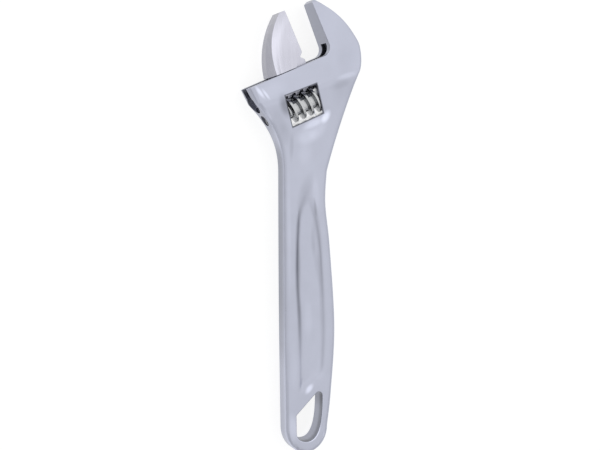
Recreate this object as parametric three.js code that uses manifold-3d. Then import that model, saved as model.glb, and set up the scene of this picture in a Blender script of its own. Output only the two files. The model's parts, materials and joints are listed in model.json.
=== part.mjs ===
// Adjustable wrench with a sliding jaw, driven by a worm that is turned by the thumb.
//
// The wrench lies flat: X runs across it, +Y along the handle towards the jaws, +Z through its
// thickness. The head is laid out in its own axes: u along the jaw's slide and w towards the jaw
// tips, with the worm's axis as w = 0. All sizes are in millimetres.

import * as THREE from 'three';
import { mergeVertices } from 'three/addons/utils/BufferGeometryUtils.js';
import Module from 'manifold-3d';

const wasm = await Module();
wasm.setup();

// ---------------------------------------------------------------- driving dimensions

// Handle
const HANDLE_END_Y = -127.7;
const HANDLE_HALF_THICKNESS = 5.7;
const HANDLE_EDGE_RADIUS = 2;
const HANDLE_LEFT = 13;
const HANDLE_RIGHT = 12.8;
const HANDLE_END_LENGTH = 14.7;
const HANDLE_SWELL = 18;
const HANDLE_SWELL_Y = -56;
const HANDLE_TAPER_Y = -45;
const CROWN_WIDTH = 7;
const CROWN_LEFT_DROP = 0.5;
const CROWN_RIGHT_DROP = 0.25;
const NECK_LEFT = 12.2;
const NECK_RIGHT = 13.2;
const NECK_Y = 14;

// Where the neck's edges start to spread to the head, and at what angle from the handle's axis
const FLARE_Y = 32;
const FLARE_RIGHT = 14.3;
const FLARE_LEFT_ANGLE = THREE.MathUtils.degToRad(-43);
const FLARE_LEFT_START = 12;
const FLARE_LEFT_LENGTH = 19.5;
const FLARE_RIGHT_START_ANGLE = THREE.MathUtils.degToRad(15);
const FLARE_RIGHT_ANGLE = THREE.MathUtils.degToRad(24);
const FLARE_RIGHT_LENGTH = 12;

// Panel forged into both faces of the handle
const PANEL_DEPTH = 1.5;
const PANEL_LEFT_RIM = 7.7;
const PANEL_RIGHT_RIM = 5.6;
const PANEL_WALL = 3.4;
const PANEL_RIGHT_WALL_AT_TOP = 9;
const PANEL_RIGHT_WALL_SPREAD_Y = 6;
const PANEL_TOP_Y = 23;
const PANEL_TOP_SLOPE = 1.9;
const PANEL_TOP_BLEND = 13;
const PANEL_BOTTOM_Y = -91;
const PANEL_BOTTOM_SLOPE = 0.75;
const PANEL_BOTTOM_BLEND = 5;

// Hole to hang the wrench by
const HOLE_LEFT = -6.6;
const HOLE_BOTTOM_Y = -121;
const HOLE_TOP_X = 7.1;
const HOLE_TOP_Y = -95.3;
const HOLE_TOP_RADIUS = 2.2;
const HOLE_CORNER_Y = -105.4;
const HOLE_SIDE_LENGTH = 10;

// Head
const HEAD_Y = 69;
const HEAD_ANGLE = THREE.MathUtils.degToRad(22.5);
const HEAD_HALF_THICKNESS = 8;
const HEAD_EDGE_RADIUS = 1.6;
const HEAD_CREASE_EDGE_RADIUS = 2.4;
const HEAD_END_EDGE_RADIUS = 3.8;
const HEAD_LEFT_U = -27.3;
const HEAD_RIGHT_U = 44.4;
const SHOULDER_W = 20.4;
const CREASE_LEFT_W = 11;
const CREASE_RIGHT_W = 5;
const CREASE_LEFT_INSET = 1.2;
const CREASE_RIGHT_INSET = 5.1;
const SLOPE_LENGTH = 34;

// Raised land below the worm's window: half the thickness at three of its corners, and its plan
const LAND_LEFT = -5.8;
const LAND_RIGHT = 14;
const LAND_TOP_Y = 62;
const LAND_BOTTOM_Y = 36;
const LAND_TOP_LEFT_Z = 6.9;
const LAND_TOP_RIGHT_Z = 5.95;
const LAND_BOTTOM_LEFT_Z = 5.5;
const LAND_FLANK_WIDTH = 2.6;
const LAND_FLANK_DEPTH = 0.9;

// Shallow hollow for the thumb, at the window's lower right corner
const THUMB_HOLLOW_U = 10;
const THUMB_HOLLOW_W = -11.5;
const THUMB_HOLLOW_RADIUS = 5.8;
const THUMB_HOLLOW_DEPTH = 0.3;

// Fixed jaw, and the bow of its outer edge: angles are taken from the jaw's own direction
const FIXED_JAW_U = 26.8;
const FIXED_JAW_TIP_W = 51.1;
const FIXED_JAW_TIP_WIDTH = 2;
const FIXED_JAW_EDGE_RADIUS = 0.8;
const JAW_TIP_HALF_THICKNESS = 6;
const JAW_TAPER_START_W = 22;
const THROAT_RADIUS = 5.2;
const HEEL_ANGLE = THREE.MathUtils.degToRad(38);
const HEEL_LENGTH = 7;
const SHOULDER_ANGLE = THREE.MathUtils.degToRad(-9);
const SHOULDER_LENGTH = 2;
const BOW_LENGTH = 12.5;
const BOW_TIP_ANGLE = THREE.MathUtils.degToRad(-44);
const BOW_TIP_LENGTH = 15.5;

// Sliding jaw
const JAW_OPENING = 17;
const SLIDING_JAW_TIP_W = 51.5;
const SLIDING_JAW_HALF_THICKNESS = 7.8;
const SLIDING_JAW_TIP_WIDTH = 3.2;
const SLIDING_JAW_FOOT_LENGTH = 21.5;
const SLIDING_JAW_BACK_RADIUS = 48;
const JAW_BEVEL_WIDTH = 4.8;
const JAW_BEVEL_DEPTH = 0.9;
const JAW_HEEL_CHAMFER = 6.6;

// Worm and rack
const WORM_RADIUS = 7.8;
const WORM_LENGTH = 17.7;
const WORM_PITCH = 5;
const WORM_PHASE = 2.1;
const THREAD_CREST = 1.3;
const THREAD_FLANK = 0.27;
const MESH_DEPTH = 2.3;
const RACK_ROOT_CLEARANCE = 0.35;
const THREAD_ROOT_CLEARANCE = 0.5;
const RACK_TOOTH_TIP = 1.7;

// Slide: a round bar on a web, in a keyhole slot. The bar and the web's nose reach past the jaw's face.
const BAR_RADIUS = 5;
const BAR_LENGTH = 35.4;
const BAR_REACH = 2.2;
const BAR_CHAMFER = 0.8;
const WEB_THICKNESS = 6.5;
const WEB_SETBACK = 1.9;
const WEB_NOSE_REACH = 1.7;
const WEB_NOSE_TOP_W = 25.2;
const WEB_NOSE_CHAMFER = 2.4;
const WEB_TOP_DROP = 0.8;
const SLOT_TOP_CLEARANCE = 1.1;

// The worm's window through the head, whose side walls lean, and the pin that the worm turns on
const WINDOW_RIGHT_U = 10;
const WINDOW_TOP_W = 9.5;
const WINDOW_LEAN = THREE.MathUtils.degToRad(6);
const WINDOW_CORNER = 0.8;
const WINDOW_THUMB_CLEARANCE = 1.5;
const WORM_END_PLAY = 0.3;
const PIN_RADIUS = 2.1;
const PIN_HEAD_RADIUS = 2.9;
const PIN_HEAD_LENGTH = 8.6;
const PIN_LAND = 3.1;
const PIN_SEAT_DEPTH = 5.4;
const PIN_SLOT_WIDTH = 0.9;
const PIN_SLOT_DEPTH = 1.2;

// Spring that takes up the worm's end play
const SPRING_WIRE_RADIUS = 0.4;
const SPRING_TURNS = 5;
const SPRING_SEAT_RADIUS = 3.8;
const SPRING_SEAT_DEPTH = 5;

// Fits, and how far a cutting solid runs past the face that it cuts
const RUNNING_CLEARANCE = 0.25;
const SEAT_GAP = 0.3;
const PAST = 1;

// Share of the handle's edges, from its end, along which the stations lie closer together, for the
// panel's slanted end
const PANEL_END_SHARE = 0.3;

// ---------------------------------------------------------------- values worked out from them

const SLIDING_JAW_U = FIXED_JAW_U - JAW_OPENING;
const SLIDING_JAW_BACK_U = SLIDING_JAW_U - SLIDING_JAW_FOOT_LENGTH;
const JAW_FOOT_W = SHOULDER_W + SEAT_GAP;
const THREAD_DEPTH = MESH_DEPTH + THREAD_ROOT_CLEARANCE;
const RACK_DEPTH = MESH_DEPTH + RACK_ROOT_CLEARANCE;
const THREAD_ROOT = THREAD_CREST + 2 * THREAD_FLANK * THREAD_DEPTH;
const WORM_ROOT_RADIUS = WORM_RADIUS - THREAD_DEPTH;
const WORM_END_LEAN = Math.tan(WINDOW_LEAN) * WORM_RADIUS;
const WORM_RIGHT_U = WINDOW_RIGHT_U - WORM_END_LEAN - SEAT_GAP;
const WORM_LEFT_U = WORM_RIGHT_U - WORM_LENGTH;
const WINDOW_LEFT_U = WORM_LEFT_U - WORM_END_LEAN - WORM_END_PLAY;
const WINDOW_BOTTOM_W = -WORM_RADIUS - WINDOW_THUMB_CLEARANCE;
const BAR_W = WORM_RADIUS + BAR_RADIUS - MESH_DEPTH;
const BAR_RIGHT_U = SLIDING_JAW_U + BAR_REACH;
const BAR_LEFT_U = BAR_RIGHT_U - BAR_LENGTH;
const BORE_RADIUS = BAR_RADIUS + RUNNING_CLEARANCE;
const WEB_LEFT_U = BAR_LEFT_U + WEB_SETBACK;
const WEB_NOSE_U = SLIDING_JAW_U + WEB_NOSE_REACH;
const WEB_NOSE_W = WEB_NOSE_TOP_W - WEB_NOSE_CHAMFER;
const SLOT_RIGHT_U = FIXED_JAW_U + BAR_REACH + SEAT_GAP;
const SLOT_TOP_W = WEB_NOSE_TOP_W + SLOT_TOP_CLEARANCE;
const PIN_HEAD_RIGHT_U = WINDOW_LEFT_U - PIN_LAND;
const PIN_HEAD_LEFT_U = PIN_HEAD_RIGHT_U - PIN_HEAD_LENGTH;
const PIN_TIP_U = WINDOW_RIGHT_U + PIN_SEAT_DEPTH;
const PIN_BORE_RADIUS = PIN_RADIUS + RUNNING_CLEARANCE;
const SPRING_RADIUS = SPRING_SEAT_RADIUS - SEAT_GAP - SPRING_WIRE_RADIUS;
const SPRING_LEFT_U = WINDOW_LEFT_U + Math.tan(WINDOW_LEAN) * SPRING_SEAT_RADIUS + SEAT_GAP;
const CUT = 1.5 * HEAD_HALF_THICKNESS;

// ---------------------------------------------------------------- helpers

/** A point given in the head's axes, in the wrench's axes. */
function fromHead(u, w) {
  return new THREE.Vector2(
    u * Math.cos(HEAD_ANGLE) - w * Math.sin(HEAD_ANGLE),
    HEAD_Y + u * Math.sin(HEAD_ANGLE) + w * Math.cos(HEAD_ANGLE),
  );
}

/** A three.js geometry as a solid, with its shared vertices merged. */
function solid(geometry) {
  const bare = geometry.clone();
  bare.deleteAttribute('normal');
  bare.deleteAttribute('uv');
  const merged = mergeVertices(bare, 1e-4);
  const corners = merged.index.array;
  const kept = [];
  for (let i = 0; i < corners.length; i += 3) {
    const [a, b, c] = corners.slice(i, i + 3);
    if (a !== b && b !== c && c !== a) kept.push(a, b, c);
  }
  return new wasm.Manifold(new wasm.Mesh({
    numProp: 3,
    vertProperties: Float32Array.from(merged.attributes.position.array),
    triVerts: Uint32Array.from(kept),
  }));
}

/** A solid as a named mesh of its own material. */
function part(name, body, material) {
  const { vertProperties, triVerts } = body.getMesh();
  const geometry = new THREE.BufferGeometry();
  geometry.setAttribute('position', new THREE.BufferAttribute(vertProperties, 3));
  geometry.setIndex(new THREE.BufferAttribute(triVerts, 1));
  geometry.computeVertexNormals();
  const mesh = new THREE.Mesh(geometry, material);
  mesh.name = name;
  return mesh;
}

/** Closed rings of points joined into one skin, with both ends closed. The four-sided faces
 * between two rings are split along their shorter diagonal. */
function loft(rings) {
  const count = rings[0].length;
  const points = rings.flat();
  const positions = points.flatMap((p) => [p.x, p.y, p.z]);
  const index = [];
  for (let r = 0; r + 1 < rings.length; r += 1) {
    for (let i = 0; i < count; i += 1) {
      const a = r * count + i;
      const b = r * count + ((i + 1) % count);
      const c = a + count;
      const d = b + count;
      if (points[b].distanceTo(points[c]) <= points[a].distanceTo(points[d])) {
        index.push(a, b, c, b, d, c);
      } else {
        index.push(a, b, d, a, d, c);
      }
    }
  }
  const last = (rings.length - 1) * count;
  for (let i = 1; i + 1 < count; i += 1) {
    index.push(0, i + 1, i, last, last + i, last + i + 1);
  }
  const geometry = new THREE.BufferGeometry();
  geometry.setAttribute('position', new THREE.Float32BufferAttribute(positions, 3));
  geometry.setIndex(index);
  return geometry;
}

/** An outline in the X-Y plane made solid from -halfDepth to +halfDepth. */
function prism(shape, halfDepth, curveSegments = 8) {
  const geometry = new THREE.ExtrudeGeometry(shape, {
    depth: 2 * halfDepth,
    bevelEnabled: false,
    curveSegments,
  });
  return geometry.translate(0, 0, -halfDepth);
}

/** A round solid along u, from steps of [u, radius], with its axis at height w. */
function turned(steps, w, sides = 32) {
  const profile = steps.map(([u, radius]) => new THREE.Vector2(radius, u));
  profile.unshift(new THREE.Vector2(0, steps[0][0]));
  profile.push(new THREE.Vector2(0, steps.at(-1)[0]));
  const geometry = new THREE.LatheGeometry(profile, sides);
  return geometry.rotateZ(-Math.PI / 2).translate(0, w, 0);
}

/** A block between two corners. */
function block(low, high) {
  const size = new THREE.Vector3().subVectors(high, low);
  const centre = new THREE.Vector3().addVectors(low, high).multiplyScalar(0.5);
  return new THREE.BoxGeometry(size.x, size.y, size.z).translate(centre.x, centre.y, centre.z);
}

/** Geometry laid out in the head's axes, moved to the wrench's axes. */
function placeHead(geometry) {
  return geometry.rotateZ(HEAD_ANGLE).translate(0, HEAD_Y, 0);
}

/** How far a rounded edge of a given radius lies below its face, at a distance from the edge. */
function roundDrop(distance, radius) {
  if (distance >= radius) return 0;
  return radius - Math.sqrt(radius ** 2 - (radius - distance) ** 2);
}

/** A forged plate: stations across it, from its left edge to its right, with a face height. */
function plate(stations, lateral, faceHeight) {
  const rings = stations.map((station) => {
    const { left, right } = station;
    const width = left.distanceTo(right);
    const front = lateral(width, station).map((distance) => {
      const share = width > 0 ? distance / width : 0;
      const point = left.clone().lerp(right, share);
      const height = faceHeight(point, distance, width - distance, station);
      return new THREE.Vector3(point.x, point.y, height);
    });
    const back = front.map((p) => new THREE.Vector3(p.x, p.y, -p.z)).reverse();
    return [...front, ...back];
  });
  return loft(rings);
}

// ---------------------------------------------------------------- wrench body

/** A curve between two points, with the direction and the pull that it has at each of them. */
function sweep(from, fromAngle, fromPull, to, toAngle, toPull) {
  const along = (angle, pull) => new THREE.Vector2(Math.sin(angle) * pull, Math.cos(angle) * pull);
  return new THREE.CubicBezierCurve(
    from, from.clone().add(along(fromAngle, fromPull)), to.clone().sub(along(toAngle, toPull)), to,
  );
}

/** A point on the way to a swell: a third of the way along the edge, and half of the way out. */
function onTheWay(from, swell) {
  return new THREE.Vector2((from.x + swell.x) / 2, THREE.MathUtils.lerp(from.y, swell.y, 0.35));
}

/** Evenly spaced shares of a curve, without the first and with the last. */
function evenShares(from, to, steps) {
  return Array.from({ length: steps }, (_, i) => THREE.MathUtils.lerp(from, to, (i + 1) / steps));
}

/** The body's left and right edges, as curves that run side by side from the end to the tip. */
function bodyZones() {
  const endY = HANDLE_END_Y + HANDLE_END_LENGTH;
  const endLeft = new THREE.Vector2(-HANDLE_LEFT, endY);
  const endRight = new THREE.Vector2(HANDLE_RIGHT, endY);
  const swell = new THREE.Vector2(HANDLE_SWELL, HANDLE_SWELL_Y);
  const neck = new THREE.Vector2(NECK_RIGHT, NECK_Y);
  const flareLeft = new THREE.Vector2(-NECK_LEFT, FLARE_Y);
  const flareRight = new THREE.Vector2(FLARE_RIGHT, FLARE_Y);
  const creaseLeft = fromHead(HEAD_LEFT_U + CREASE_LEFT_INSET, CREASE_LEFT_W);
  const creaseRight = fromHead(HEAD_RIGHT_U - CREASE_RIGHT_INSET, CREASE_RIGHT_W);
  const cornerLeft = fromHead(HEAD_LEFT_U, SHOULDER_W);
  const cornerRight = fromHead(HEAD_RIGHT_U, SHOULDER_W);
  const tip = fromHead(FIXED_JAW_U + FIXED_JAW_TIP_WIDTH, FIXED_JAW_TIP_W);
  const shoulderAngle = SHOULDER_ANGLE - HEAD_ANGLE;
  return [
    {
      left: new THREE.EllipseCurve(0, endY, HANDLE_LEFT, HANDLE_END_LENGTH, -Math.PI / 2, -Math.PI, true),
      right: new THREE.EllipseCurve(0, endY, HANDLE_RIGHT, HANDLE_END_LENGTH, -Math.PI / 2, 0, false),
      shares: evenShares(0, 1, 10),
      leftRadius: [HANDLE_EDGE_RADIUS, HANDLE_EDGE_RADIUS],
      rightRadius: [HANDLE_EDGE_RADIUS, HANDLE_EDGE_RADIUS],
    },
    {
      left: new THREE.SplineCurve([endLeft, new THREE.Vector2(-HANDLE_LEFT, HANDLE_TAPER_Y), flareLeft]),
      right: new THREE.SplineCurve([
        endRight, onTheWay(endRight, swell), swell, onTheWay(neck, swell), neck, flareRight,
      ]),
      shares: [...evenShares(0, PANEL_END_SHARE, 20), ...evenShares(PANEL_END_SHARE, 1, 31)],
      leftRadius: [HANDLE_EDGE_RADIUS, HANDLE_EDGE_RADIUS],
      rightRadius: [HANDLE_EDGE_RADIUS, HANDLE_EDGE_RADIUS],
    },
    {
      left: sweep(flareLeft, 0, FLARE_LEFT_START, creaseLeft, FLARE_LEFT_ANGLE, FLARE_LEFT_LENGTH),
      right: sweep(
        flareRight, FLARE_RIGHT_START_ANGLE, FLARE_RIGHT_LENGTH,
        creaseRight, FLARE_RIGHT_ANGLE, FLARE_RIGHT_LENGTH,
      ),
      shares: evenShares(0, 1, 22),
      leftRadius: [HANDLE_EDGE_RADIUS, HEAD_CREASE_EDGE_RADIUS],
      rightRadius: [HANDLE_EDGE_RADIUS, HEAD_EDGE_RADIUS],
    },
    {
      left: new THREE.LineCurve(creaseLeft, cornerLeft),
      right: sweep(
        creaseRight, HEEL_ANGLE - HEAD_ANGLE, HEEL_LENGTH, cornerRight, shoulderAngle, SHOULDER_LENGTH,
      ),
      shares: evenShares(0, 1, 8),
      leftRadius: [HEAD_CREASE_EDGE_RADIUS, HEAD_END_EDGE_RADIUS],
      rightRadius: [HEAD_EDGE_RADIUS, HEAD_EDGE_RADIUS],
    },
    {
      left: new THREE.LineCurve(cornerLeft, tip),
      right: sweep(
        cornerRight, shoulderAngle, BOW_LENGTH, tip, BOW_TIP_ANGLE - HEAD_ANGLE, BOW_TIP_LENGTH,
      ),
      shares: evenShares(0, 1, 18),
      leftRadius: [HEAD_END_EDGE_RADIUS, HANDLE_EDGE_RADIUS],
      rightRadius: [HEAD_EDGE_RADIUS, FIXED_JAW_EDGE_RADIUS],
    },
  ];
}

function bodyStations() {
  const first = bodyZones()[0];
  const station = ({ left, right, leftRadius, rightRadius }, share) => ({
    left: left.getPoint(share),
    right: right.getPoint(share),
    leftRadius: THREE.MathUtils.lerp(leftRadius[0], leftRadius[1], share),
    rightRadius: THREE.MathUtils.lerp(rightRadius[0], rightRadius[1], share),
  });
  return [station(first, 0), ...bodyZones().flatMap((zone) => zone.shares.map((s) => station(zone, s)))];
}

/** Width of the panel's right wall, which spreads and flattens towards the panel's top. */
function panelRightWall(y) {
  const share = THREE.MathUtils.smoothstep(y, PANEL_RIGHT_WALL_SPREAD_Y, PANEL_TOP_Y);
  return THREE.MathUtils.lerp(PANEL_WALL, PANEL_RIGHT_WALL_AT_TOP, share);
}

/** Distances from the left edge at which a station of the body has a point on its face. */
function bodyLateral(width, station) {
  const narrow = Math.min(1, width / (2 * HANDLE_LEFT));
  const side = (radius, rim, wall) => [
    ...[0, 0.05, 0.16, 0.4, 1].map((share) => share * radius),
    (radius + rim) / 2,
    ...[0, 0.3, 0.7, 1].map((share) => rim + share * wall),
  ].map((distance) => distance * narrow);
  const left = side(station.leftRadius, PANEL_LEFT_RIM, PANEL_WALL);
  const right = side(station.rightRadius, PANEL_RIGHT_RIM, panelRightWall(station.right.y));
  const from = left.at(-1);
  const to = width - right.at(-1);
  const middle = [0.25, 0.5, 0.75].map((share) => THREE.MathUtils.lerp(from, to, share));
  return [...left, ...middle, ...right.reverse().map((d) => width - d)];
}

/** How far a point lies below the crease, which runs across the head from edge to edge. */
function belowCrease(point) {
  const left = fromHead(HEAD_LEFT_U + CREASE_LEFT_INSET, CREASE_LEFT_W);
  const right = fromHead(HEAD_RIGHT_U - CREASE_RIGHT_INSET, CREASE_RIGHT_W);
  return -right.sub(left).normalize().cross(point.clone().sub(left));
}

/** Half the body's thickness: flat across the head, thinner to the jaw's tip and the handle. */
function bodyHalfThickness(point) {
  const below = belowCrease(point);
  if (below > 0) {
    const share = Math.max(0, 1 - below / SLOPE_LENGTH);
    return HANDLE_HALF_THICKNESS + (HEAD_HALF_THICKNESS - HANDLE_HALF_THICKNESS) * share ** 2;
  }
  const w = point.clone().sub(fromHead(0, 0)).rotateAround(new THREE.Vector2(), -HEAD_ANGLE).y;
  return THREE.MathUtils.mapLinear(
    THREE.MathUtils.clamp(w, JAW_TAPER_START_W, FIXED_JAW_TIP_W),
    JAW_TAPER_START_W, FIXED_JAW_TIP_W, HEAD_HALF_THICKNESS, JAW_TIP_HALF_THICKNESS,
  );
}

/** How far the face rolls down towards the edges, on the handle and the neck. */
function crownDrop(point, fromLeft, fromRight) {
  const roll = (distance) => Math.max(0, 1 - distance / CROWN_WIDTH) ** 2;
  const share = THREE.MathUtils.smoothstep(belowCrease(point), 0, CROWN_WIDTH);
  return share * (CROWN_LEFT_DROP * roll(fromLeft) + CROWN_RIGHT_DROP * roll(fromRight));
}

/** How far the panel's floor lies below the handle's face. */
function panelDrop(point, fromLeft, fromRight) {
  const ramp = (distance, length) => THREE.MathUtils.smoothstep(distance, 0, length);
  const topY = PANEL_TOP_Y + PANEL_TOP_SLOPE * point.x;
  const bottomY = PANEL_BOTTOM_Y + PANEL_BOTTOM_SLOPE * point.x;
  return PANEL_DEPTH
    * ramp(fromLeft - PANEL_LEFT_RIM, PANEL_WALL)
    * ramp(fromRight - PANEL_RIGHT_RIM, panelRightWall(point.y))
    * ramp(topY - point.y, PANEL_TOP_BLEND)
    * ramp(point.y - bottomY, PANEL_BOTTOM_BLEND);
}

/** Shortest distance from a point to a run of straight edges. */
function distanceToEdges(point, corners) {
  let shortest = Infinity;
  for (let i = 0; i + 1 < corners.length; i += 1) {
    const edge = corners[i + 1].clone().sub(corners[i]);
    const offset = point.clone().sub(corners[i]);
    const share = THREE.MathUtils.clamp(offset.dot(edge) / edge.lengthSq(), 0, 1);
    shortest = Math.min(shortest, offset.addScaledVector(edge, -share).length());
  }
  return shortest;
}

function forgedBlank() {
  const stations = bodyStations();
  const leftEdge = stations.slice(0, -bodyZones().at(-1).shares.length).map(({ left }) => left);
  const rightEdge = stations.map(({ right }) => right);
  const faceHeight = (point, fromLeft, fromRight, { leftRadius, rightRadius }) => (
    bodyHalfThickness(point)
    - Math.max(
      roundDrop(distanceToEdges(point, leftEdge), leftRadius),
      roundDrop(distanceToEdges(point, rightEdge), rightRadius),
    )
    - crownDrop(point, fromLeft, fromRight)
    - panelDrop(point, fromLeft, fromRight)
  );
  return solid(plate(stations, bodyLateral, faceHeight));
}

/** The land below the worm's window, with a sloping flank on its left. Its upper end is cut off by
 * the window, and it dies into the slope of the head on its right and at its lower end. */
function windowLand() {
  const slopeX = (LAND_TOP_RIGHT_Z - LAND_TOP_LEFT_Z) / (LAND_RIGHT - LAND_LEFT);
  const slopeY = (LAND_TOP_LEFT_Z - LAND_BOTTOM_LEFT_Z) / (LAND_TOP_Y - LAND_BOTTOM_Y);
  const height = (x, y) => LAND_BOTTOM_LEFT_Z + slopeX * (x - LAND_LEFT) + slopeY * (y - LAND_BOTTOM_Y);
  const ring = (side, flankWidth, drop) => [
    [LAND_LEFT, LAND_BOTTOM_Y, flankWidth],
    [LAND_RIGHT, LAND_BOTTOM_Y, 0],
    [LAND_RIGHT, LAND_TOP_Y, 0],
    [LAND_LEFT, LAND_TOP_Y, flankWidth],
  ].map(([x, y, out]) => new THREE.Vector3(x - out, y, side * (height(x, y) - drop)));
  return solid(loft([
    ring(-1, 0, 0),
    ring(-1, LAND_FLANK_WIDTH, LAND_FLANK_DEPTH),
    ring(1, LAND_FLANK_WIDTH, LAND_FLANK_DEPTH),
    ring(1, 0, 0),
  ]));
}

/** A shallow round hollow in both faces, square to the slope of the face around it. */
function thumbHollow() {
  const place = fromHead(THUMB_HOLLOW_U, THUMB_HOLLOW_W);
  const height = (x, y) => bodyHalfThickness(new THREE.Vector2(place.x + x, place.y + y));
  const reach = THUMB_HOLLOW_RADIUS;
  const square = new THREE.Vector3(
    height(-reach, 0) - height(reach, 0), height(0, -reach) - height(0, reach), 2 * reach,
  ).normalize();
  const profile = [0, 0.3, 0.6, 0.85, 1.2].map((share) => new THREE.Vector2(
    share * THUMB_HOLLOW_RADIUS, THUMB_HOLLOW_DEPTH * (share ** 2 - 1),
  ));
  profile.push(new THREE.Vector2(profile.at(-1).x, PAST), new THREE.Vector2(0, PAST));
  const geometry = new THREE.LatheGeometry(profile, 24).rotateX(Math.PI / 2);
  geometry.applyQuaternion(new THREE.Quaternion().setFromUnitVectors(new THREE.Vector3(0, 0, 1), square));
  const hollow = solid(geometry.translate(place.x, place.y, height(0, 0)));
  return hollow.add(hollow.mirror([0, 0, 1]));
}

/** Everything above the shoulder and left of the fixed jaw's face, with the round throat. */
function jawGap() {
  const shape = new THREE.Shape();
  const far = 2 * SLIDING_JAW_TIP_W;
  shape.moveTo(-far, SHOULDER_W);
  shape.lineTo(FIXED_JAW_U - THROAT_RADIUS, SHOULDER_W);
  shape.absarc(
    FIXED_JAW_U - THROAT_RADIUS, SHOULDER_W + THROAT_RADIUS, THROAT_RADIUS, -Math.PI / 2, 0, false,
  );
  shape.lineTo(FIXED_JAW_U, far);
  shape.lineTo(-far, far);
  return solid(placeHead(prism(shape, CUT)));
}

/** The keyhole slot: a bore for the bar, and above it a slot for the web. */
function slideSlot() {
  const bore = turned([
    [HEAD_LEFT_U - CUT, BORE_RADIUS],
    [SLOT_RIGHT_U, BORE_RADIUS],
  ], BAR_W);
  const halfSlot = WEB_THICKNESS / 2 + RUNNING_CLEARANCE;
  const slot = block(
    new THREE.Vector3(HEAD_LEFT_U - CUT, BAR_W, -halfSlot),
    new THREE.Vector3(SLOT_RIGHT_U, SLOT_TOP_W, halfSlot),
  );
  return solid(placeHead(bore)).add(solid(placeHead(slot)));
}

function wormWindow() {
  const shape = new THREE.Shape();
  const low = WINDOW_BOTTOM_W;
  const left = (w) => WINDOW_LEFT_U + w * Math.tan(WINDOW_LEAN);
  const right = (w) => WINDOW_RIGHT_U + w * Math.tan(WINDOW_LEAN);
  shape.moveTo(left(WINDOW_TOP_W), WINDOW_TOP_W);
  shape.lineTo(left(low + WINDOW_CORNER), low + WINDOW_CORNER);
  shape.quadraticCurveTo(left(low), low, left(low) + WINDOW_CORNER, low);
  shape.lineTo(right(low) - WINDOW_CORNER, low);
  shape.quadraticCurveTo(right(low), low, right(low + WINDOW_CORNER), low + WINDOW_CORNER);
  shape.lineTo(right(WINDOW_TOP_W), WINDOW_TOP_W);
  return solid(placeHead(prism(shape, CUT, 3)));
}

/** The hole for the worm's pin: wide for its head, then narrow to a blind end. */
function pinHole() {
  const wide = PIN_HEAD_RADIUS + RUNNING_CLEARANCE;
  return solid(placeHead(turned([
    [HEAD_LEFT_U - CUT, wide],
    [PIN_HEAD_RIGHT_U + SEAT_GAP, wide],
    [PIN_HEAD_RIGHT_U + SEAT_GAP, PIN_BORE_RADIUS],
    [PIN_TIP_U + SEAT_GAP, PIN_BORE_RADIUS],
  ], 0, 24)));
}

/** A long teardrop with one straight side, and a straight slope up to its small round top. */
function hangingHole() {
  const shape = new THREE.Shape();
  const corner = new THREE.Vector2(HOLE_LEFT, HOLE_CORNER_Y);
  const sideY = HOLE_CORNER_Y - HOLE_SIDE_LENGTH;
  const topRight = HOLE_TOP_X + HOLE_TOP_RADIUS;
  const toCorner = corner.clone().sub(new THREE.Vector2(HOLE_TOP_X, HOLE_TOP_Y));
  const slopeEnd = toCorner.angle() - Math.acos(HOLE_TOP_RADIUS / toCorner.length());
  shape.moveTo(HOLE_LEFT, sideY);
  shape.lineTo(corner.x, corner.y);
  shape.absarc(HOLE_TOP_X, HOLE_TOP_Y, HOLE_TOP_RADIUS, slopeEnd, 0, true);
  shape.bezierCurveTo(
    topRight, (HOLE_TOP_Y + HOLE_BOTTOM_Y) / 2, 0.82 * topRight, HOLE_BOTTOM_Y, 0, HOLE_BOTTOM_Y,
  );
  const cornerY = THREE.MathUtils.lerp(sideY, HOLE_BOTTOM_Y, 0.7);
  shape.bezierCurveTo(HOLE_LEFT / 2, HOLE_BOTTOM_Y, HOLE_LEFT, cornerY, HOLE_LEFT, sideY);
  return solid(prism(shape, CUT, 10));
}

function wrenchBody() {
  return forgedBlank()
    .add(windowLand())
    .subtract(thumbHollow())
    .subtract(jawGap())
    .subtract(slideSlot())
    .subtract(wormWindow())
    .subtract(pinHole())
    .subtract(hangingHole());
}

// ---------------------------------------------------------------- sliding jaw

/** The jaw above the shoulder, in the head's axes, with a wide bevel along its back. */
function jawBlade() {
  const foot = new THREE.Vector2(SLIDING_JAW_BACK_U, JAW_FOOT_W);
  const tip = new THREE.Vector2(SLIDING_JAW_U - SLIDING_JAW_TIP_WIDTH, SLIDING_JAW_TIP_W);
  const chord = tip.clone().sub(foot);
  const toCentre = Math.sqrt(SLIDING_JAW_BACK_RADIUS ** 2 - chord.lengthSq() / 4);
  const centre = foot.clone().lerp(tip, 0.5)
    .addScaledVector(new THREE.Vector2(chord.y, -chord.x).normalize(), toCentre);
  const steps = 14;
  const stations = [];
  for (let i = 0; i <= steps; i += 1) {
    const w = THREE.MathUtils.lerp(foot.y, tip.y, i / steps);
    const reach = Math.sqrt(SLIDING_JAW_BACK_RADIUS ** 2 - (w - centre.y) ** 2);
    stations.push({
      left: new THREE.Vector2(centre.x - reach, w),
      right: new THREE.Vector2(SLIDING_JAW_U, w),
    });
  }
  const lateral = (width) => {
    const bevel = Math.min(JAW_BEVEL_WIDTH, 0.6 * width);
    return [0, bevel, (bevel + width) / 2, width];
  };
  const faceHeight = (point, fromLeft) => {
    const share = (point.y - foot.y) / chord.y;
    const flat = THREE.MathUtils.lerp(SLIDING_JAW_HALF_THICKNESS, JAW_TIP_HALF_THICKNESS, share);
    return flat - JAW_BEVEL_DEPTH * Math.max(0, 1 - fromLeft / JAW_BEVEL_WIDTH);
  };
  return solid(plate(stations, lateral, faceHeight));
}

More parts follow.
